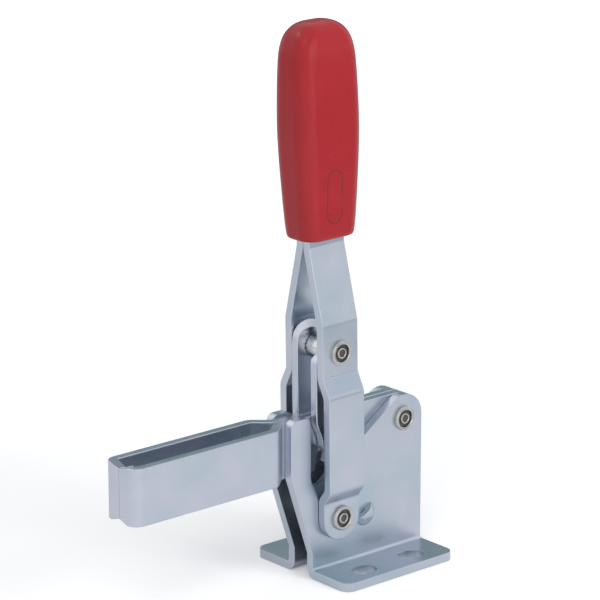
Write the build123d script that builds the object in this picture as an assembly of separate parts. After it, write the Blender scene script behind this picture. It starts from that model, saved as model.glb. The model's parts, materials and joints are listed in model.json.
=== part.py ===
from build123d import *
import math
import os

# Toggle clamp: two bent base plates, two handle strips with a plastic grip, one folded link
# and two clamping bars, joined by four rivets.
# Frame in mm: origin in the middle of the four base slots on the base's underside,
# +Z up, -X toward the clamping bars' tip, near side at -Y, far side at +Y.

SHEET = 3.0
SIDE_GAP = 0.1
RUNNING = 0.08

# Pivots as (x, z); every axis runs along Y.
HANDLE_LEAN_X = 0.96
CRANK_RISE = 57.0
PIVOT_SPREAD = 30.1
PIVOT_RISE = 27.2
TOGGLE_BACK = 0.5
TOGGLE_RISE = 26.3
HANDLE_PIVOT = (-14.25, 20.2)
LINK_PIVOT = (HANDLE_PIVOT[0] - HANDLE_LEAN_X, HANDLE_PIVOT[1] + CRANK_RISE)
ARM_PIVOT = (HANDLE_PIVOT[0] + PIVOT_SPREAD, HANDLE_PIVOT[1] + PIVOT_RISE)
TOGGLE_PIVOT = (HANDLE_PIVOT[0] - TOGGLE_BACK, HANDLE_PIVOT[1] + TOGGLE_RISE)
HANDLE_OPEN = 57.0
# Reach of a cutting tool or a trimming outline that passes right through the clamp
THROUGH = 30.0

# Sheet layers from the middle plane outward, as distances from y = 0.
BAR_IN = 0.05
BAR_OUT = BAR_IN + SHEET
WEB_IN = BAR_OUT + SIDE_GAP
WEB_OUT = WEB_IN + SHEET
STRIP_IN = WEB_OUT + SIDE_GAP
STRIP_OUT = STRIP_IN + SHEET
BULGE_STEP = 3.0

# Base plates
BASE_FRONT = -24.15
BASE_REAR = 24.05
FLANGE_REACH = 23.1
FLANGE_CORNER = 3.5
BEND_MID = 2.5
SLOT_SPACING_X = 21.0
SLOT_SPACING_Y = 32.4
SLOT_WIDTH = 6.8
SLOT_LENGTH = 9.0
WEB_STEP_Z = 8.6
EAR_FRONT = -33.65
EAR_FRONT_Z = 37.0
EAR_TOP = 56.5
EAR_REAR = -25.15
EAR_CORNER = 2.5
NOTCH_FLOOR_X = HANDLE_PIVOT[0] + 13.7
NOTCH_FLOOR_Z = 45.4
NOTCH_SLOPE = 34.9
NOTCH_CORNER = 3.5
LUG_RADIUS = 8.2
SHOULDER_DROP = 20.0

# Louvered stop pressed out of each web
STOP_GAP = 0.25
STOP_FIRST = 5.2
STOP_LAST = 13.4
STOP_BACK = 1.3
STOP_RISE = 2.5
STOP_WALL = 1.9
STOP_SIDE = 20.0

# Handle strips and grip
STRIP_HALF = 7.6
BULGE_START = 26.9
BULGE_FULL = 30.9
BULGE_BACK = 63.3
BULGE_END = 69.2
NECK_START = 86.9
NECK_END = 112.3
STRIP_TOP = 175.0
STRIP_BEND = 3.5
GRIP_BOTTOM = 113.0
GRIP_TOP = 186.4
POCKET_CLEAR = 0.15

# Grip sections: height, half width along X, half width along Y, corner radius
GRIP_SECTIONS = [
    (GRIP_BOTTOM, 10.3, 6.5, 4.9),
    (GRIP_BOTTOM + 0.35, 10.8, 7.0, 5.3),
    (GRIP_BOTTOM + 1.2, 11.1, 7.25, 5.5),
    (121.0, 11.6, 7.6, 5.8),
    (133.0, 12.4, 8.1, 6.1),
    (143.0, 12.95, 8.5, 6.4),
    (152.0, 13.2, 8.8, 6.6),
    (162.0, 13.05, 8.7, 6.6),
    (170.0, 12.75, 8.45, 6.5),
    (175.5, 12.35, 8.15, 6.4),
    (178.8, 11.8, 7.7, 6.2),
    (181.4, 10.95, 7.1, 5.8),
    (183.4, 9.8, 6.3, 5.3),
    (184.9, 8.2, 5.2, 4.5),
    (185.8, 6.4, 4.0, 3.6),
    (186.25, 4.6, 2.8, 2.6),
    (GRIP_TOP, 2.4, 1.5, 1.4),
]

# Toggle link
LINK_HALF = 7.8
LINK_END = 5.2
ARCH_CLEAR = 0.05
LINK_ARCH_CORNER = 5.0

# Clamping bars
BAR_TIP = -99.4
BAR_BOTTOM = 36.4
BAR_LUG = 8.2
BAR_JOG_REAR = -35.55
BAR_JOG_FRONT = -40.95
SPINDLE_GAP = 9.76
BAR_BEND = 2.5

# Rivets
RIVET_RADIUS = 2.5
HEAD_RADIUS = 4.2
HEAD_HEIGHT = 1.2
SPACER_RADIUS = 5.0
ARM_SLEEVE_RADIUS = 3.7
LINK_BUSH_RADIUS = 4.0
LINK_ARCH = LINK_PIVOT[1] + LINK_BUSH_RADIUS + ARCH_CLEAR


def slab(face, y_low, y_high):
    """Extrude a sketch drawn as (x, z) from y_low to y_high."""
    solid = extrude(Plane.XZ * face, amount=y_high - y_low, dir=(0, -1, 0))
    return Pos(0, y_high, 0) * solid


def disc(centre, radius, y_low, y_high):
    """Round bar along Y about the pivot at centre."""
    return slab(Pos(centre[0], centre[1]) * Circle(radius), y_low, y_high)


def folded_yz(points, radius, x_low, x_high):
    """Sheet band whose middle line runs through (y, z) points, extruded along X."""
    line = FilletPolyline(*points, radius=radius)
    band = trace(line, line_width=SHEET)
    return Pos(x_low, 0, 0) * extrude(Plane.YZ * band, amount=x_high - x_low)


def folded_xy(points, radius, z_low, z_high):
    """Sheet band whose middle line runs through (x, y) points, extruded along Z."""
    line = FilletPolyline(*points, radius=radius)
    band = trace(line, line_width=SHEET)
    return Pos(0, 0, z_low) * extrude(band, amount=z_high - z_low)


def turned(vector, degrees):
    """Turn (x, z) by a positive angle about +Y, so that +Z leans toward +X."""
    a = math.radians(degrees)
    x = vector[0] * math.cos(a) + vector[1] * math.sin(a)
    z = -vector[0] * math.sin(a) + vector[1] * math.cos(a)
    return (x, z)


def minus(a, b):
    return (a[0] - b[0], a[1] - b[1])


def plus(a, b):
    return (a[0] + b[0], a[1] + b[1])


def open_angles():
    """Arm turn and link turn (relative to the handle) when the handle is fully open."""
    knee = plus(HANDLE_PIVOT, turned(minus(LINK_PIVOT, HANDLE_PIVOT), HANDLE_OPEN))
    rest = minus(TOGGLE_PIVOT, LINK_PIVOT)
    link_len = math.hypot(*rest)
    arm_vec = minus(TOGGLE_PIVOT, ARM_PIVOT)
    arm_len = math.hypot(*arm_vec)
    span = minus(knee, ARM_PIVOT)
    dist = math.hypot(*span)
    cosine = (arm_len ** 2 + dist ** 2 - link_len ** 2) / (2 * arm_len * dist)
    angle = math.atan2(span[1], span[0]) + math.acos(cosine)
    pin = (ARM_PIVOT[0] + arm_len * math.cos(angle), ARM_PIVOT[1] + arm_len * math.sin(angle))
    arm_rest = math.atan2(arm_vec[1], arm_vec[0]) % (2 * math.pi)
    arm_turn = math.degrees(arm_rest - angle)
    link_now = minus(pin, knee)
    link_rest_angle = math.atan2(rest[1], rest[0])
    link_open_angle = math.atan2(link_now[1], link_now[0])
    link_turn = math.degrees((link_rest_angle - link_open_angle) % (2 * math.pi)) - HANDLE_OPEN
    return arm_turn, link_turn


def toggle_pin_in_arm(theta):
    """Toggle rivet's centre, seen from the clamping bars, at handle angle theta."""
    arm_turn, link_turn = open_angles()
    share = theta / HANDLE_OPEN
    knee = plus(HANDLE_PIVOT, turned(minus(LINK_PIVOT, HANDLE_PIVOT), theta))
    reach = turned(minus(TOGGLE_PIVOT, LINK_PIVOT), theta + link_turn * share)
    pin = plus(knee, reach)
    return plus(ARM_PIVOT, turned(minus(pin, ARM_PIVOT), -arm_turn * share))


def stop_direction():
    """Unit vector along the handle strip's rear edge in the open position."""
    lean = math.degrees(math.atan2(LINK_PIVOT[0] - HANDLE_PIVOT[0], LINK_PIVOT[1] - HANDLE_PIVOT[1]))
    return turned((0.0, 1.0), HANDLE_OPEN + lean)


def stop_point(along, beyond):
    """Point on the stop: along the open strip, beyond its rear edge."""
    d = stop_direction()
    across = (d[1], -d[0])
    offset = STRIP_HALF + STOP_GAP + beyond
    x = HANDLE_PIVOT[0] + d[0] * along + across[0] * offset
    z = HANDLE_PIVOT[1] + d[1] * along + across[1] * offset
    return (x, z)


def stop_dome(radius, side):
    """Part of a ball on the outer face of a web, cut flat toward the handle strip."""
    half_chord = (STOP_LAST - STOP_FIRST) / 2
    foot = math.hypot(half_chord, STOP_BACK)
    ball = (foot ** 2 + STOP_RISE ** 2) / (2 * STOP_RISE)
    centre = stop_point((STOP_FIRST + STOP_LAST) / 2, STOP_BACK)
    y = side * (WEB_OUT + STOP_RISE - ball)
    dome = Pos(centre[0], y, centre[1]) * Sphere(ball - radius)
    corners = [
        stop_point(-STOP_SIDE, 0), stop_point(THROUGH, 0),
        stop_point(THROUGH, STOP_SIDE), stop_point(-STOP_SIDE, STOP_SIDE),
    ]
    low, high = sorted((side * WEB_IN, side * STOP_SIDE))
    return dome & slab(Polygon(*corners, align=None), low, high)


def base_outline():
    """Side view of a base plate's web, as (x, z)."""
    slope = math.tan(math.radians(NOTCH_SLOPE))
    angle = math.radians(NOTCH_SLOPE)
    tangent_x = ARM_PIVOT[0] - LUG_RADIUS * math.sin(angle)
    tangent_z = ARM_PIVOT[1] + LUG_RADIUS * math.cos(angle)
    notch_z = tangent_z + slope * (EAR_REAR - tangent_x)
    body = Polygon(
        (BASE_FRONT, 0),
        (BASE_REAR, 0),
        (BASE_REAR, ARM_PIVOT[1]),
        (ARM_PIVOT[0], ARM_PIVOT[1]),
        (tangent_x, tangent_z),
        (EAR_REAR, notch_z),
        (EAR_REAR, EAR_TOP),
        (EAR_FRONT, EAR_TOP),
        (EAR_FRONT, EAR_FRONT_Z),
        (BASE_FRONT, WEB_STEP_Z),
        align=None,
    )
    top = [v for v in body.vertices() if abs(v.Y - EAR_TOP) < 0.01]
    body = fillet(top, EAR_CORNER)
    inner = [v for v in body.vertices() if abs(v.X - EAR_REAR) < 0.01 and abs(v.Y - notch_z) < 0.01]
    body = fillet(inner, NOTCH_CORNER)
    lug = Pos(ARM_PIVOT[0], ARM_PIVOT[1]) * Circle(LUG_RADIUS)
    shoulder = Polygon(
        (ARM_PIVOT[0], ARM_PIVOT[1] - SHOULDER_DROP),
        (ARM_PIVOT[0] + LUG_RADIUS, ARM_PIVOT[1] - SHOULDER_DROP),
        (ARM_PIVOT[0] + LUG_RADIUS, ARM_PIVOT[1]),
        (ARM_PIVOT[0], ARM_PIVOT[1]),
        align=None,
    )
    return body + lug + shoulder


def base_plate(side):
    mid = side * (WEB_IN + WEB_OUT) / 2
    points = [(mid, EAR_TOP + SHEET), (mid, SHEET / 2), (side * FLANGE_REACH, SHEET / 2)]
    body = folded_yz(points, BEND_MID, EAR_FRONT - 1, BASE_REAR + 1)
    body = body & slab(base_outline(), -THROUGH, THROUGH)
    tips = [e for e in body.edges().filter_by(Axis.Z) if abs(abs(e.center().Y) - FLANGE_REACH) < 0.01]
    body = fillet(tips, FLANGE_CORNER)
    for x in (-SLOT_SPACING_X / 2, SLOT_SPACING_X / 2):
        slot = SlotOverall(SLOT_LENGTH, SLOT_WIDTH)
        body -= Pos(x, side * SLOT_SPACING_Y / 2, -1) * extrude(slot, amount=SHEET + 2)
    body += stop_dome(0.0, side)
    body -= stop_dome(STOP_WALL, side)
    for pivot in (HANDLE_PIVOT, ARM_PIVOT):
        body -= disc(pivot, RIVET_RADIUS, -THROUGH, THROUGH)
    return body


def lean_angle():
    return math.degrees(math.atan2(LINK_PIVOT[0] - HANDLE_PIVOT[0], LINK_PIVOT[1] - HANDLE_PIVOT[1]))


def leaned(shape):
    """Turn a shape drawn upright over the handle pivot to the handle's rest lean."""
    pivot = Pos(HANDLE_PIVOT[0], 0, HANDLE_PIVOT[1])
    return pivot * Rot(0, lean_angle(), 0) * pivot.inverse() * shape


def handle_strip(side):
    low = (STRIP_IN + STRIP_OUT) / 2
    high = low + BULGE_STEP
    neck = BAR_IN + SHEET / 2
    stations = [
        (low, HANDLE_PIVOT[1] - STRIP_HALF - 1),
        (low, BULGE_START),
        (high, BULGE_FULL),
        (high, BULGE_BACK),
        (low, BULGE_END),
        (low, NECK_START),
        (neck, NECK_END),
        (neck, STRIP_TOP),
    ]
    points = [(side * y, z) for y, z in stations]
    x0 = HANDLE_PIVOT[0]
    body = folded_yz(points, STRIP_BEND, x0 - STRIP_HALF, x0 + STRIP_HALF)
    outline = Pos(x0, HANDLE_PIVOT[1]) * Circle(STRIP_HALF)
    outline += Polygon(
        (x0 - STRIP_HALF, HANDLE_PIVOT[1]),
        (x0 + STRIP_HALF, HANDLE_PIVOT[1]),
        (x0 + STRIP_HALF, STRIP_TOP),
        (x0 - STRIP_HALF, STRIP_TOP),
        align=None,
    )
    body = leaned(body & slab(outline, -THROUGH, THROUGH))
    body -= disc(HANDLE_PIVOT, RIVET_RADIUS + RUNNING, -THROUGH, THROUGH)
    body -= disc(LINK_PIVOT, RIVET_RADIUS, -THROUGH, THROUGH)
    return body


def grip_section(z, half_x, half_y, corner):
    face = RectangleRounded(2 * half_x, 2 * half_y, corner)
    return Pos(HANDLE_PIVOT[0], 0, z) * face


def grip():
    sections = [grip_section(*row) for row in GRIP_SECTIONS]
    body = loft(sections, ruled=True)
    wide = STRIP_HALF + POCKET_CLEAR
    deep = BAR_OUT + POCKET_CLEAR
    x0 = HANDLE_PIVOT[0]
    pocket = Pos(x0, 0, (GRIP_BOTTOM - 2 + STRIP_TOP) / 2) * Box(
        2 * wide, 2 * deep, STRIP_TOP - GRIP_BOTTOM + 2)
    mouth = loft([
        Pos(x0, 0, GRIP_BOTTOM - 0.5) * Rectangle(2 * wide, 2 * deep + 2.0),
        Pos(x0, 0, GRIP_BOTTOM + 2.5) * Rectangle(2 * wide, 2 * deep),
    ])
    return leaned(body - pocket - mouth)


def toggle_link():
    mid = (WEB_IN + WEB_OUT) / 2
    low = TOGGLE_PIVOT[1] - LINK_END
    outer = Pos(0, LINK_ARCH) * Circle(WEB_OUT)
    outer += Pos(0, (LINK_ARCH + low) / 2) * Rectangle(2 * WEB_OUT, LINK_ARCH - low)
    inner = Pos(0, LINK_ARCH) * Circle(WEB_IN)
    inner += Pos(0, (LINK_ARCH + low) / 2 - 1) * Rectangle(2 * WEB_IN, LINK_ARCH - low + 2)
    arch = Plane.YZ * (outer - inner)
    wide = 2 * LINK_HALF
    body = Pos(LINK_PIVOT[0] - wide, 0, 0) * extrude(arch, amount=2 * wide)
    top = LINK_ARCH + WEB_OUT
    ends = [
        Pos(*TOGGLE_PIVOT) * Circle(LINK_END),
        Pos(LINK_PIVOT[0], LINK_PIVOT[1]) * Circle(LINK_HALF),
        Pos(LINK_PIVOT[0] - LINK_HALF + LINK_ARCH_CORNER, top - LINK_ARCH_CORNER) * Circle(LINK_ARCH_CORNER),
        Pos(LINK_PIVOT[0] + LINK_HALF - LINK_ARCH_CORNER, top - LINK_ARCH_CORNER) * Circle(LINK_ARCH_CORNER),
    ]
    edges = []
    for end in ends:
        edges += end.edges()
    body = body & slab(make_hull(edges), -mid * 2, mid * 2)
    body -= disc(LINK_PIVOT, RIVET_RADIUS + RUNNING, -THROUGH, THROUGH)
    body -= disc(TOGGLE_PIVOT, RIVET_RADIUS, -THROUGH, THROUGH)
    return body


def arm_relief():
    """Room the toggle rivet needs in the bars on its way between closed and open."""
    steps = 24
    loop = [toggle_pin_in_arm(HANDLE_OPEN * i / steps) for i in range(steps)]
    return offset(Polygon(*loop, align=None), amount=RIVET_RADIUS + 0.3, kind=Kind.ARC)


def arm_bar(side):
    rear = BAR_IN + SHEET / 2
    front = SPINDLE_GAP / 2 + SHEET / 2
    tip = BAR_TIP + SHEET / 2
    points = [
        (ARM_PIVOT[0] + BAR_LUG + 1, side * rear),
        (BAR_JOG_REAR, side * rear),
        (BAR_JOG_FRONT, side * front),
        (tip, side * front),
        (tip, side * BAR_IN),
    ]
    top = ARM_PIVOT[1] + BAR_LUG
    body = folded_xy(points, BAR_BEND, BAR_BOTTOM - 5, top + 5)
    outline = Pos(*ARM_PIVOT) * Circle(BAR_LUG)
    outline += Polygon(
        (BAR_TIP - 1, BAR_BOTTOM),
        (TOGGLE_PIVOT[0] + 6, BAR_BOTTOM),
        (ARM_PIVOT[0], ARM_PIVOT[1] - BAR_LUG),
        (ARM_PIVOT[0], top),
        (BAR_TIP - 1, top),
        align=None,
    )
    body = body & slab(outline, -THROUGH, THROUGH)
    body -= slab(arm_relief(), -THROUGH, THROUGH)
    body -= disc(TOGGLE_PIVOT, RIVET_RADIUS + RUNNING, -THROUGH, THROUGH)
    body -= disc(ARM_PIVOT, ARM_SLEEVE_RADIUS + RUNNING, -THROUGH, THROUGH)
    return body


def rivet(pivot, grip_out):
    """Shank along Y with a dished head, a ring and a centre nub on both ends."""
    head = Polyline(
        (0, grip_out),
        (HEAD_RADIUS, grip_out),
        (HEAD_RADIUS, grip_out + HEAD_HEIGHT - 0.4),
        (HEAD_RADIUS - 0.4, grip_out + HEAD_HEIGHT),
        (HEAD_RADIUS - 1.2, grip_out + HEAD_HEIGHT),
        (HEAD_RADIUS - 1.7, grip_out + HEAD_HEIGHT - 0.5),
        (1.5, grip_out + HEAD_HEIGHT - 0.6),
        (1.2, grip_out + HEAD_HEIGHT - 0.15),
        (0, grip_out + HEAD_HEIGHT - 0.05),
        (0, grip_out),
    )
    cap = revolve(Plane.XZ * make_face(head), Axis.Z)
    x, z = pivot
    body = disc(pivot, RIVET_RADIUS, -grip_out, grip_out)
    body += Pos(x, 0, z) * Rot(90, 0, 0) * cap
    body += Pos(x, 0, z) * Rot(-90, 0, 0) * cap
    return body


def sleeve(pivot, radius, half_length):
    body = disc(pivot, radius, -half_length, half_length)
    return body - disc(pivot, RIVET_RADIUS, -THROUGH, THROUGH)


NODES = {
    "base_plate_near": lambda: base_plate(-1),
    "base_plate_far": lambda: base_plate(1),
    "handle_pivot_rivet": lambda: rivet(HANDLE_PIVOT, STRIP_OUT + 0.05),
    "handle_pivot_spacer": lambda: sleeve(HANDLE_PIVOT, SPACER_RADIUS, WEB_IN),
    "arm_pivot_rivet": lambda: rivet(ARM_PIVOT, WEB_OUT),
    "arm_pivot_sleeve": lambda: sleeve(ARM_PIVOT, ARM_SLEEVE_RADIUS, WEB_IN),
    "handle_strip_near": lambda: handle_strip(-1),
    "handle_strip_far": lambda: handle_strip(1),
    "grip": grip,
    "link_pivot_rivet": lambda: rivet(LINK_PIVOT, STRIP_OUT),
    "link_pivot_bush": lambda: sleeve(LINK_PIVOT, LINK_BUSH_RADIUS, WEB_IN - 0.05),
    "toggle_link": toggle_link,
    "toggle_rivet": lambda: rivet(TOGGLE_PIVOT, WEB_OUT),
    "arm_bar_near": lambda: arm_bar(-1),
    "arm_bar_far": lambda: arm_bar(1),
}

os.makedirs("parts", exist_ok=True)
for name, make in NODES.items():
    solid = make()
    export_step(solid, "parts/" + name + ".step")
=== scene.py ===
import bpy
import bmesh
import json
import math
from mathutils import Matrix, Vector


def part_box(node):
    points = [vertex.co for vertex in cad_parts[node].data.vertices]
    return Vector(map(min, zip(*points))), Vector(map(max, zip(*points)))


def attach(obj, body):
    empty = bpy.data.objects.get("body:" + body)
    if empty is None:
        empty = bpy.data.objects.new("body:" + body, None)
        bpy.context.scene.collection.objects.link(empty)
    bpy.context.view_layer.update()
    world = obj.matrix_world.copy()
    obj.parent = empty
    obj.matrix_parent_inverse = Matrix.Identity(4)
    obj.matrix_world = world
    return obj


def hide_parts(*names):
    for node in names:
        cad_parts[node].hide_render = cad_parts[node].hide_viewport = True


MM = 0.001
SHEET = 3.0 * MM
SHEET_EDGE = 0.28 * MM
LINK_EDGE = 0.45 * MM
SHANK = 2.5
HEAD_HEIGHT = 1.2 * MM
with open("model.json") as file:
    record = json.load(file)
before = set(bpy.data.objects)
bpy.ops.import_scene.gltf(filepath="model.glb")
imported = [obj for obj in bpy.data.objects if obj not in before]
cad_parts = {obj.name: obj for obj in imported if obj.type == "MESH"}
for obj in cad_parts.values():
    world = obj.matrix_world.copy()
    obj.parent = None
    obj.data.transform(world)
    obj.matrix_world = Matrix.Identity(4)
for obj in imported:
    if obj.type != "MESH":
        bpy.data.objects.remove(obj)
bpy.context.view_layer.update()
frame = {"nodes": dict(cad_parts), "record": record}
scene = bpy.context.scene


# ---------------------------------------------------------------- materials
def new_material(name):
    mat = bpy.data.materials.new(name)
    mat.use_nodes = True
    tree = mat.node_tree
    shader = tree.nodes["Principled BSDF"]
    coords = tree.nodes.new("ShaderNodeTexCoord")
    return mat, tree, shader, coords.outputs["Object"]


def noise(tree, vector, scale, detail, rough=0.55):
    node = tree.nodes.new("ShaderNodeTexNoise")
    node.inputs["Scale"].default_value = scale
    node.inputs["Detail"].default_value = detail
    node.inputs["Roughness"].default_value = rough
    tree.links.new(vector, node.inputs["Vector"])
    return node.outputs["Fac"]


def ramp(tree, value, stops):
    node = tree.nodes.new("ShaderNodeValToRGB")
    elements = node.color_ramp.elements
    while len(elements) < len(stops):
        elements.new(0.5)
    for element, (place, colour) in zip(elements, stops):
        element.position = place
        element.color = (*colour, 1.0)
    tree.links.new(value, node.inputs["Fac"])
    return node.outputs["Color"]


def spread(tree, value, low, high):
    node = tree.nodes.new("ShaderNodeMapRange")
    node.inputs["From Min"].default_value = 0.3
    node.inputs["From Max"].default_value = 0.7
    node.inputs["To Min"].default_value = low
    node.inputs["To Max"].default_value = high
    tree.links.new(value, node.inputs["Value"])
    return node.outputs["Result"]


def bump(tree, shader, height, strength, distance):
    node = tree.nodes.new("ShaderNodeBump")
    node.inputs["Strength"].default_value = strength
    node.inputs["Distance"].default_value = distance
    tree.links.new(height, node.inputs["Height"])
    tree.links.new(node.outputs["Normal"], shader.inputs["Normal"])


def zinc():
    mat, tree, shader, at = new_material("zinc_plated_sheet")
    patches = noise(tree, at, 55.0, 2.0)
    tint = ramp(tree, patches, [(0.3, (0.50, 0.585, 0.65)), (0.7, (0.60, 0.62, 0.71))])
    tree.links.new(tint, shader.inputs["Base Color"])
    shader.inputs["Metallic"].default_value = 1.0
    haze = noise(tree, at, 160.0, 4.0)
    tree.links.new(spread(tree, haze, 0.27, 0.36), shader.inputs["Roughness"])
    grain = noise(tree, at, 700.0, 4.0, 0.6)
    bump(tree, shader, grain, 0.08, 0.0001)
    return mat


def bright_steel():
    mat, tree, shader, at = new_material("rivet_steel")
    stains = noise(tree, at, 260.0, 3.0)
    tint = ramp(tree, stains, [(0.3, (0.46, 0.455, 0.44)), (0.7, (0.62, 0.615, 0.60))])
    tree.links.new(tint, shader.inputs["Base Color"])
    shader.inputs["Metallic"].default_value = 1.0
    tree.links.new(spread(tree, stains, 0.16, 0.34), shader.inputs["Roughness"])
    marks = noise(tree, at, 900.0, 3.0)
    bump(tree, shader, marks, 0.15, 0.0001)
    return mat


def red_plastic():
    mat, tree, shader, at = new_material("grip_plastic")
    shades = noise(tree, at, 45.0, 2.0)
    tint = ramp(tree, shades, [(0.3, (0.33, 0.008, 0.013)), (0.7, (0.355, 0.010, 0.016))])
    tree.links.new(tint, shader.inputs["Base Color"])
    wear = noise(tree, at, 220.0, 4.0)
    tree.links.new(spread(tree, wear, 0.26, 0.35), shader.inputs["Roughness"])
    shader.inputs["Specular IOR Level"].default_value = 0.38
    return mat


ZINC = zinc()
RIVET = bright_steel()
PLASTIC = red_plastic()


def flat_material(name, colour, metallic, roughness):
    mat, tree, shader, at = new_material(name)
    mottle = noise(tree, at, 300.0, 3.0)
    dark = tuple(c * 0.85 for c in colour)
    tree.links.new(ramp(tree, mottle, [(0.3, dark), (0.7, colour)]), shader.inputs["Base Color"])
    shader.inputs["Metallic"].default_value = metallic
    shader.inputs["Roughness"].default_value = roughness
    return mat


BUSH = flat_material("turned_bush", (0.80, 0.80, 0.79), 1.0, 0.16)
# Near-black metal for the rivet heads' hollow centres and ring grooves: painted shade in the
# recesses
RECESS_SHADE = flat_material("rivet_recess_painted_shade", (0.12, 0.118, 0.112), 0.8, 0.4)
# Darker red for the grip's raised outline: painted shade standing in for the shade along the
# line's edges
RIM_SHADE = flat_material("grip_outline", (0.19, 0.006, 0.01), 0.0, 0.5)

STEEL_NODES = (
    "base_plate_near", "base_plate_far", "handle_strip_near", "handle_strip_far",
    "toggle_link", "arm_bar_near", "arm_bar_far",
)
for name, node in frame["nodes"].items():
    mat = PLASTIC if name == "grip" else ZINC if name in STEEL_NODES else RIVET
    node.data.materials.clear()
    node.data.materials.append(mat)


# ------------------------------------------------- sheet parts, rolled edges
def body_name(node):
    for body, names in frame["record"]["behaviour"]["bodies"].items():
        if node in names:
            return body


def soft_edged(node, width):
    """Copy of a sheet part whose sheared edges are slightly rolled."""
    source = frame["nodes"][node]
    mesh = source.data.copy()
    mesh.name = node + "_rolled"
    bm = bmesh.new()
    bm.from_mesh(mesh)
    bmesh.ops.remove_doubles(bm, verts=bm.verts, dist=2e-6)
    bmesh.ops.dissolve_limit(
        bm, angle_limit=math.radians(1.0), verts=bm.verts, edges=bm.edges)
    bm.to_mesh(mesh)
    bm.free()
    piece = bpy.data.objects.new(node + "_rolled", mesh)
    scene.collection.objects.link(piece)
    for layer in ("custom_normal", "sharp_edge", "sharp_face"):
        if layer in mesh.attributes:
            mesh.attributes.remove(mesh.attributes[layer])
    mesh.shade_smooth()
    cut = piece.modifiers.new("rolled", "BEVEL")
    cut.width = width
    cut.segments = 2
    cut.limit_method = "ANGLE"
    cut.angle_limit = math.radians(38)
    cut.use_clamp_overlap = True
    even = piece.modifiers.new("even_faces", "WEIGHTED_NORMAL")
    even.mode = "FACE_AREA"
    even.weight = 100
    even.keep_sharp = False
    mesh.materials.clear()
    mesh.materials.append(ZINC)
    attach(piece, body_name(node))
    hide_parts(node)
    return piece


def tip_drop(piece, node):
    """Make a bar's turned-in end less high than the bar, at the top and at the bottom."""
    end_length, end_reach, drop = 4.2 * MM, 3.4 * MM, 1.3 * MM
    low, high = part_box(node)
    half_way = (low[2] + high[2]) / 2
    for vertex in piece.data.vertices:
        if vertex.co.x < low[0] + end_length and abs(vertex.co.y) < end_reach:
            side = 1 if vertex.co.z > half_way else -1
            vertex.co.z -= side * drop


for name in STEEL_NODES:
    if name == "toggle_link":
        continue
    sheet_part = soft_edged(name, SHEET_EDGE)
    if name.startswith("arm_bar"):
        tip_drop(sheet_part, name)


# ------------------------------------------------------------- lathed rivets
def mesh_piece(name, verts, faces, material, body, smooth_angle=35):
    """New piece that rides on a body, shaded smooth up to smooth_angle degrees."""
    mesh = bpy.data.meshes.new(name)
    mesh.from_pydata([tuple(v) for v in verts], [], faces)
    bm = bmesh.new()
    bm.from_mesh(mesh)
    bmesh.ops.remove_doubles(bm, verts=bm.verts, dist=1e-7)
    bmesh.ops.recalc_face_normals(bm, faces=bm.faces)
    bm.to_mesh(mesh)
    bm.free()
    mesh.materials.append(material)
    mesh.shade_smooth()
    mesh.set_sharp_from_angle(angle=math.radians(smooth_angle))
    piece = bpy.data.objects.new(name, mesh)
    scene.collection.objects.link(piece)
    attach(piece, body)
    return piece


# Rivet head's profile from the rim inward: radius and rise above its seat, in mm
HEAD = (
    (4.20, 0.00), (4.20, 0.62), (4.12, 0.92), (3.90, 1.12), (3.62, 1.19),
    (3.30, 1.17), (3.05, 1.02), (2.92, 0.70), (2.80, 0.30), (2.20, 0.22),
    (1.98, 0.30), (1.90, 0.80), (1.74, 1.00), (1.45, 1.06), (1.30, 0.96),
    (1.20, 0.62), (0.60, 0.55), (0.0, 0.55),
)


def rivet(node, around=56):
    """Shank with a rolled ring and a hollow centre on each head; the hollow and the groove
    inside the ring are coloured near-black as painted shade.
    """
    low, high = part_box(node)
    x = (low[0] + high[0]) / 2
    z = (low[2] + high[2]) / 2
    reach = high[1] - HEAD_HEIGHT
    verts = []
    faces = []
    for side in (-1, 1):
        first = len(verts)
        profile = ((SHANK, -reach / MM), (SHANK, 0.0)) + HEAD
        for radius, rise in profile:
            for k in range(around):
                turn = 2 * math.pi * k / around
                verts.append((
                    x + radius * MM * math.cos(turn),
                    side * (reach + rise * MM),
                    z + radius * MM * math.sin(turn)))
        for row in range(len(profile) - 1):
            for k in range(around):
                k2 = (k + 1) % around
                a = first + row * around
                faces.append((a + k, a + k2, a + around + k2, a + around + k))
    piece = mesh_piece(node + "_turned", verts, faces, RIVET, body_name(node))
    piece.data.materials.append(RECESS_SHADE)
    for face in piece.data.polygons:
        at = face.center
        radius = math.hypot(at.x - x, at.z - z) / MM
        rise = (abs(at.y) - reach) / MM
        # Faces in the hollow centre and in the groove get the near-black material: painted shade
        in_centre = radius < 1.22
        in_groove = 2.0 < radius < 2.97 and rise < 0.8
        if rise > 0.15 and (in_centre or in_groove):
            face.material_index = 1
    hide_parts(node)
    return piece


for name in ("handle_pivot_rivet", "arm_pivot_rivet", "link_pivot_rivet", "toggle_rivet"):
    rivet(name)


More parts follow.
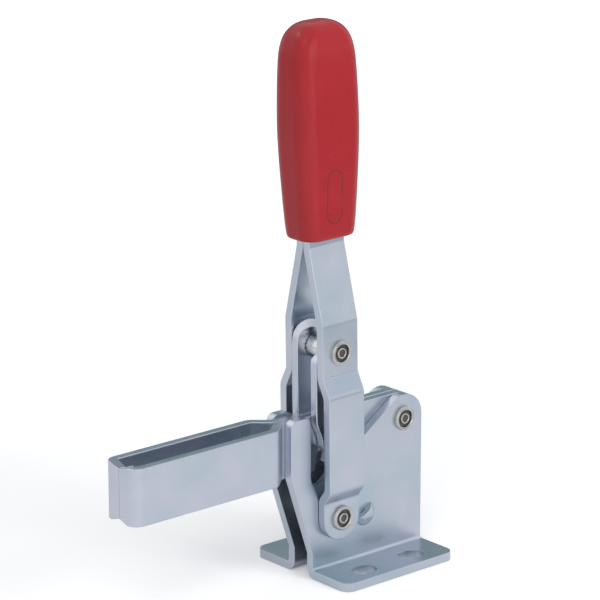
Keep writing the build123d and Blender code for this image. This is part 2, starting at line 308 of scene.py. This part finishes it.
# -------------------------------------------------------------- folded link
def folded_link():
    """One strip folded over the bush, narrower over the arch and bored for the upper rivet."""
    low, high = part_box("toggle_link")
    knee_low, knee_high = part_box("link_pivot_bush")
    pin_low, pin_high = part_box("toggle_rivet")
    top_x = (knee_low[0] + knee_high[0]) / 2
    top_z = (knee_low[2] + knee_high[2]) / 2
    end_x = (pin_low[0] + pin_high[0]) / 2
    end_z = (pin_low[2] + pin_high[2]) / 2
    outer = high[1]
    inner = outer - SHEET
    crown = high[2] - outer
    half = 7.8 * MM
    end_r = 5.2 * MM
    end_least = 0.4 * MM
    widening = 8.0 * MM
    narrow_from = top_z + 0.5 * MM
    narrow_share = 0.45
    near_low = top_z - 2.8 * MM
    near_rise = 4.6 * MM
    near_edge = top_x - 3.4 * MM
    stations = []
    bottom = end_z - end_r
    count = 26
    for i in range(count):
        t = i / (count - 1)
        stations.append(bottom + (crown - bottom) * (1 - (1 - t) ** 1.3))
    arc = 18
    path = [("leg", z, 1) for z in stations]
    path += [("arc", math.pi * (i + 1) / (arc + 1), 0) for i in range(arc)]
    path += [("leg", z, -1) for z in reversed(stations)]

    def width(z):
        """Front and rear limits of the strip at height z."""
        if z < end_z:
            d = max(end_r ** 2 - (end_z - z) ** 2, 0.0) ** 0.5
            return end_x - max(d, end_least), end_x + max(d, end_least)
        blend = min((z - end_z) / widening, 1.0)
        blend = blend * blend * (3 - 2 * blend)
        w = end_r + (half - end_r) * blend
        share = min((z - end_z) / (top_z - end_z), 1.0)
        mid = end_x + (top_x - end_x) * share
        rise = max(z - narrow_from, 0.0) / (high[2] - narrow_from)
        w *= 1.0 - narrow_share * rise ** 2
        return mid - w, mid + w

    verts = []
    faces = []
    for kind, value, side in path:
        if kind == "leg":
            skin = ((side * outer, value), (side * inner, value))
        else:
            skin = (
                (outer * math.cos(value), crown + outer * math.sin(value)),
                (inner * math.cos(value), crown + inner * math.sin(value)))
        front, rear = width(skin[0][1])
        near = 0.5 - 0.5 * skin[0][0] / outer
        near = near * near * (3 - 2 * near)
        lift = (skin[0][1] - near_low) / near_rise
        lift = min(max(lift, 0.0), 1.0)
        lift = lift * lift * (3 - 2 * lift)
        front += near * lift * max(near_edge - front, 0.0)
        for y, z in skin:
            verts.append((front, y, z))
            verts.append((rear, y, z))
    rows = len(path)
    for i in range(rows - 1):
        a = 4 * i
        b = a + 4
        faces += [
            (a, a + 1, b + 1, b), (a + 2, b + 2, b + 3, a + 3),
            (a, b, b + 2, a + 2), (a + 1, a + 3, b + 3, b + 1)]
    faces += [(0, 2, 3, 1), (4 * rows - 4, 4 * rows - 3, 4 * rows - 1, 4 * rows - 2)]
    piece = mesh_piece("folded_link", verts, faces, ZINC, "link")
    cut = piece.modifiers.new("rolled", "BEVEL")
    cut.width = LINK_EDGE
    cut.segments = 3
    cut.limit_method = "ANGLE"
    cut.angle_limit = math.radians(50)
    bpy.ops.mesh.primitive_cylinder_add(
        vertices=64, radius=SHANK * MM + 0.1 * MM, depth=4 * outer,
        location=(top_x, 0, top_z), rotation=(math.pi / 2, 0, 0))
    drill = bpy.context.object
    bore = piece.modifiers.new("bore", "BOOLEAN")
    bore.operation = "DIFFERENCE"
    bore.solver = "EXACT"
    bore.object = drill
    bpy.context.view_layer.update()
    bpy.context.view_layer.objects.active = piece
    for step in ("rolled", "bore"):
        bpy.ops.object.modifier_apply(modifier=step)
    bpy.data.objects.remove(drill)
    even = piece.modifiers.new("even_faces", "WEIGHTED_NORMAL")
    even.mode = "FACE_AREA"
    even.weight = 100
    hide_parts("toggle_link")


folded_link()


def knee_bush():
    """Bright turned bush between the link's legs, with rounded ends."""
    low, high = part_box("link_pivot_bush")
    x = (low[0] + high[0]) / 2
    z = (low[2] + high[2]) / 2
    half = high[1]
    larger = 0.3 * MM
    radius = (high[2] - low[2]) / 2 + larger
    round_off = 0.5 * MM
    profile = [(SHANK * MM, -half), (radius - round_off, -half)]
    for k in range(1, 5):
        turn = math.pi / 2 * k / 4
        profile.append((
            radius - round_off + round_off * math.sin(turn),
            -half + round_off - round_off * math.cos(turn)))
    profile += [(r, -y) for r, y in reversed(profile)]
    around = 64
    verts = []
    faces = []
    for r, y in profile:
        for k in range(around):
            turn = 2 * math.pi * k / around
            verts.append((x + r * math.cos(turn), y, z + r * math.sin(turn)))
    rows = len(profile)
    for row in range(rows):
        for k in range(around):
            k2 = (k + 1) % around
            a, b = row * around, ((row + 1) % rows) * around
            faces.append((a + k, a + k2, b + k2, b + k))
    piece = mesh_piece("knee_bush", verts, faces, BUSH, "handle", 50)
    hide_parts("link_pivot_bush")


knee_bush()


# --------------------------------------------------------------------- grip
# Grip sections: height, half width, half depth and corner radius, in mm
GRIP_ROWS = (
    (114.90, 9.60, 5.90, 4.40), (115.00, 10.30, 6.60, 4.80), (115.50, 10.85, 7.10, 5.10),
    (116.60, 11.10, 7.30, 5.20), (121.00, 11.55, 7.60, 5.30), (133.00, 12.40, 8.10, 5.60),
    (143.00, 12.95, 8.50, 5.90), (152.00, 13.15, 8.75, 6.10), (162.00, 13.00, 8.65, 6.10),
    (170.00, 12.70, 8.40, 6.00), (175.50, 12.30, 8.10, 5.90), (178.80, 11.65, 7.60, 5.70),
    (181.20, 10.70, 6.90, 5.30), (183.00, 9.40, 6.00, 4.80), (184.40, 7.70, 4.80, 4.00),
    (185.20, 5.90, 3.60, 3.10), (185.62, 4.00, 2.40, 2.10), (185.80, 1.80, 1.10, 1.00),
)


def grip_at(z):
    """Half width, half depth and corner radius of the grip at height z (mm)."""
    rows = GRIP_ROWS
    for i in range(len(rows) - 1):
        if rows[i][0] <= z <= rows[i + 1][0]:
            before = rows[max(i - 1, 0)]
            a, b = rows[i], rows[i + 1]
            after = rows[min(i + 2, len(rows) - 1)]
            span = b[0] - a[0]
            t = (z - a[0]) / span
            out = []
            for k in (1, 2, 3):
                m0 = (b[k] - before[k]) / (b[0] - before[0]) * span
                m1 = (after[k] - a[k]) / (after[0] - a[0]) * span
                out.append(
                    (2 * t ** 3 - 3 * t ** 2 + 1) * a[k] + (t ** 3 - 2 * t ** 2 + t) * m0
                    + (-2 * t ** 3 + 3 * t ** 2) * b[k] + (t ** 3 - t ** 2) * m1)
            return out
    return rows[-1][1:]


def grip_axis(z):
    """x of the grip's middle line at height z (mm): the strips' lean and a little more."""
    pivot_x, pivot_z, lean = -14.25, 20.2, 0.01684
    more_lean, more_from = 0.012, 118.0
    return pivot_x - lean * (z - pivot_z) - more_lean * max(z - more_from, 0.0)


def ring(half_x, half_y, corner, per_corner=14, per_side=10):
    """Rounded rectangle as evenly spaced (x, y) points."""
    points = []
    centres = ((1, 1, 0), (-1, 1, 90), (-1, -1, 180), (1, -1, 270))
    for i, (sx, sy, start) in enumerate(centres):
        cx, cy = sx * (half_x - corner), sy * (half_y - corner)
        for k in range(per_corner + 1):
            turn = math.radians(start + 90.0 * k / per_corner)
            points.append((cx + corner * math.cos(turn), cy + corner * math.sin(turn)))
        nx, ny, following = centres[(i + 1) % 4]
        turn = math.radians(following)
        goal = (nx * (half_x - corner) + corner * math.cos(turn),
                ny * (half_y - corner) + corner * math.sin(turn))
        last = points[-1]
        for k in range(1, per_side):
            t = k / per_side
            points.append((
                last[0] + (goal[0] - last[0]) * t, last[1] + (goal[1] - last[1]) * t))
    return points


def grip_piece():
    """Moulded grip as a stack of rings, closed at the bottom and at the crown."""
    longest_step = 1.2
    heights = []
    for i in range(len(GRIP_ROWS) - 1):
        low, high = GRIP_ROWS[i][0], GRIP_ROWS[i + 1][0]
        parts = max(2, int((high - low) / longest_step))
        heights += [low + (high - low) * k / parts for k in range(parts)]
    heights.append(GRIP_ROWS[-1][0])
    verts = []
    faces = []
    for z in heights:
        for x, y in ring(*grip_at(z)):
            verts.append(((grip_axis(z) + x) * MM, y * MM, z * MM))
    count = len(ring(*grip_at(150.0)))
    for row in range(len(heights) - 1):
        for k in range(count):
            k2 = (k + 1) % count
            a, b = row * count, (row + 1) * count
            faces.append((a + k, a + k2, b + k2, b + k))
    faces.append(tuple(range(count))[::-1])
    top = (len(heights) - 1) * count
    faces.append(tuple(range(top, top + count)))
    piece = mesh_piece("grip_moulding", verts, faces, PLASTIC, "handle", 60)
    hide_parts("grip")


def label_rim():
    """Fine race-track line low on the grip's near face, round a bare place; its darker red is
    painted shade along the raised line.
    """
    centre_z, long_half, wide_half, line = 129.2, 9.0, 3.3, 0.22
    shift_x, low_lift, high_lift = -0.4, 0.02, 0.10
    per_end = 24
    loop = []
    for start, end_z in ((0.0, long_half - wide_half), (math.pi, -long_half + wide_half)):
        for k in range(per_end):
            turn = start + math.pi * k / (per_end - 1)
            loop.append((wide_half * math.cos(turn), end_z + wide_half * math.sin(turn)))
    bands = (
        (1.0, low_lift),
        (1.0 - line / wide_half, high_lift),
        (1.0 - 2 * line / wide_half, low_lift),
    )
    verts = []
    faces = []
    count = len(loop)
    for scale, lift in bands:
        for x, z in loop:
            height = centre_z + z - (1 - scale) * wide_half * (1 if z > 0 else -1)
            face_y = -grip_at(height)[1] - lift + low_lift
            verts.append((
                (grip_axis(height) + shift_x + x * scale) * MM, face_y * MM, height * MM))
    for row in range(len(bands) - 1):
        for k in range(count):
            k2 = (k + 1) % count
            a, b = row * count, (row + 1) * count
            faces.append((a + k, a + k2, b + k2, b + k))
    mesh_piece("grip_outline", verts, faces, RIM_SHADE, "handle", 80)


grip_piece()
label_rim()


# ------------------------------------------------------------ stage and view
def matt(name, colour):
    mat = bpy.data.materials.new(name)
    mat.use_nodes = True
    shader = mat.node_tree.nodes["Principled BSDF"]
    shader.inputs["Base Color"].default_value = (*colour, 1.0)
    shader.inputs["Roughness"].default_value = 0.9
    shader.inputs["Specular IOR Level"].default_value = 0.0
    return mat


def white_floor():
    """Matt white floor that keeps the shadow near the clamp and fades to white beyond."""
    mat = matt("floor_white", (0.93, 0.93, 0.93))
    tree = mat.node_tree
    shader = tree.nodes["Principled BSDF"]
    out = tree.nodes["Material Output"]
    coords = tree.nodes.new("ShaderNodeTexCoord")
    far = tree.nodes.new("ShaderNodeVectorMath")
    far.operation = "LENGTH"
    tree.links.new(coords.outputs["Object"], far.inputs[0])
    fade = tree.nodes.new("ShaderNodeMapRange")
    fade.inputs["From Min"].default_value = 0.15
    fade.inputs["From Max"].default_value = 0.9
    fade.inputs["To Min"].default_value = 0.22
    fade.inputs["To Max"].default_value = 0.62
    tree.links.new(far.outputs["Value"], fade.inputs["Value"])
    rays = tree.nodes.new("ShaderNodeLightPath")
    glow = tree.nodes.new("ShaderNodeEmission")
    share = tree.nodes.new("ShaderNodeMath")
    share.operation = "MULTIPLY"
    tree.links.new(rays.outputs["Is Camera Ray"], share.inputs[0])
    tree.links.new(fade.outputs["Result"], share.inputs[1])
    tree.links.new(share.outputs[0], glow.inputs["Strength"])
    both = tree.nodes.new("ShaderNodeAddShader")
    tree.links.new(shader.outputs["BSDF"], both.inputs[0])
    tree.links.new(glow.outputs["Emission"], both.inputs[1])
    tree.links.new(both.outputs["Shader"], out.inputs["Surface"])
    return mat


def card(name, centre, size, target, colour, strength):
    """Glowing card that only reflections and light see, facing target."""
    bpy.ops.mesh.primitive_plane_add(size=1.0, location=centre)
    obj = bpy.context.object
    obj.name = name
    obj.scale = (size[0], size[1], 1.0)
    aim = Vector(target) - Vector(centre)
    obj.rotation_euler = aim.to_track_quat("Z", "Y").to_euler()
    mat = bpy.data.materials.new(name)
    mat.use_nodes = True
    tree = mat.node_tree
    tree.nodes.clear()
    glow = tree.nodes.new("ShaderNodeEmission")
    glow.inputs["Color"].default_value = (*colour, 1.0)
    glow.inputs["Strength"].default_value = strength
    out = tree.nodes.new("ShaderNodeOutputMaterial")
    tree.links.new(glow.outputs["Emission"], out.inputs["Surface"])
    obj.data.materials.append(mat)
    obj.visible_camera = False
    obj.visible_shadow = False
    obj.visible_diffuse = False
    return obj


def softbox(name, centre, size, target, power):
    data = bpy.data.lights.new(name, "AREA")
    data.shape = "RECTANGLE"
    data.size = size[0]
    data.size_y = size[1]
    data.energy = power
    obj = bpy.data.objects.new(name, data)
    obj.location = centre
    aim = Vector(target) - Vector(centre)
    obj.rotation_euler = aim.to_track_quat("-Z", "Y").to_euler()
    obj.visible_glossy = False
    scene.collection.objects.link(obj)
    return obj


bpy.ops.mesh.primitive_plane_add(size=8.0, location=(0, 0, -0.1 * MM))
floor = bpy.context.object
floor.name = "floor"
floor.data.materials.append(white_floor())

world = bpy.data.worlds.new("studio")
scene.world = world
world.use_nodes = True
tree = world.node_tree
tree.nodes.clear()
rays = tree.nodes.new("ShaderNodeLightPath")
# White for what the camera, reflections and glass see, and a grey fill for everything else
direct = tree.nodes.new("ShaderNodeMath")
direct.operation = "MAXIMUM"
tree.links.new(rays.outputs["Is Camera Ray"], direct.inputs[0])
tree.links.new(rays.outputs["Is Glossy Ray"], direct.inputs[1])
sees_white = tree.nodes.new("ShaderNodeMath")
sees_white.operation = "MAXIMUM"
tree.links.new(direct.outputs[0], sees_white.inputs[0])
tree.links.new(rays.outputs["Is Transmission Ray"], sees_white.inputs[1])
white = tree.nodes.new("ShaderNodeBackground")
white.inputs["Color"].default_value = (1.0, 1.0, 1.0, 1.0)
fill = tree.nodes.new("ShaderNodeBackground")
fill.inputs["Color"].default_value = (0.50, 0.51, 0.53, 1.0)
pick = tree.nodes.new("ShaderNodeMixShader")
out = tree.nodes.new("ShaderNodeOutputWorld")
tree.links.new(sees_white.outputs[0], pick.inputs["Fac"])
tree.links.new(fill.outputs["Background"], pick.inputs[1])
tree.links.new(white.outputs["Background"], pick.inputs[2])
tree.links.new(pick.outputs["Shader"], out.inputs["Surface"])

middle = (-0.02, 0.0, 0.09)
softbox("key", (-0.75, -0.6, 1.0), (0.7, 0.7), middle, 5.0)
softbox("side", (0.35, -1.2, 0.6), (0.6, 0.9), middle, 8.5)
softbox("top", (0.1, 0.3, 1.4), (0.8, 0.8), middle, 1.3)
card("dark_back", (0.75, 0.9, 0.42), (1.8, 0.75), middle, (0.17, 0.25, 0.26), 1.0)
card("grey_floor", (0.9, -1.1, 0.003), (1.5, 1.9), (0.9, -1.1, 1.0), (0.42, 0.455, 0.48), 1.0)
card("grey_front", (-0.2, -1.2, 1.0), (1.6, 0.9), middle, (0.50, 0.54, 0.58), 1.0)
card("grey_right", (0.95, -0.95, 0.66), (1.0, 0.7), middle, (0.66, 0.74, 0.80), 1.0)
card("bright_left", (-0.25, -1.4, 0.55), (0.16, 0.85), middle, (1.0, 1.0, 1.0), 5.0)
card("bright_top", (-0.55, 0.5, 1.0), (0.45, 0.3), middle, (1.0, 1.0, 1.0), 3.6)

azimuth = math.radians(40.96)
elevation = math.radians(16.31)
distance = 1.0092
along = Vector((
    math.sin(azimuth) * math.cos(elevation),
    math.cos(azimuth) * math.cos(elevation),
    -math.sin(elevation)))
look = Vector((-24.52 * MM, 0.0, 94.73 * MM))
camera_data = bpy.data.cameras.new("camera")
camera_data.sensor_width = 36.0
camera_data.lens = 187.7
camera_data.clip_start = 0.05
camera = bpy.data.objects.new("camera", camera_data)
scene.collection.objects.link(camera)
camera.location = look - along * distance
camera.rotation_euler = along.to_track_quat("-Z", "Y").to_euler()
scene.camera = camera

scene.view_settings.view_transform = "Standard"
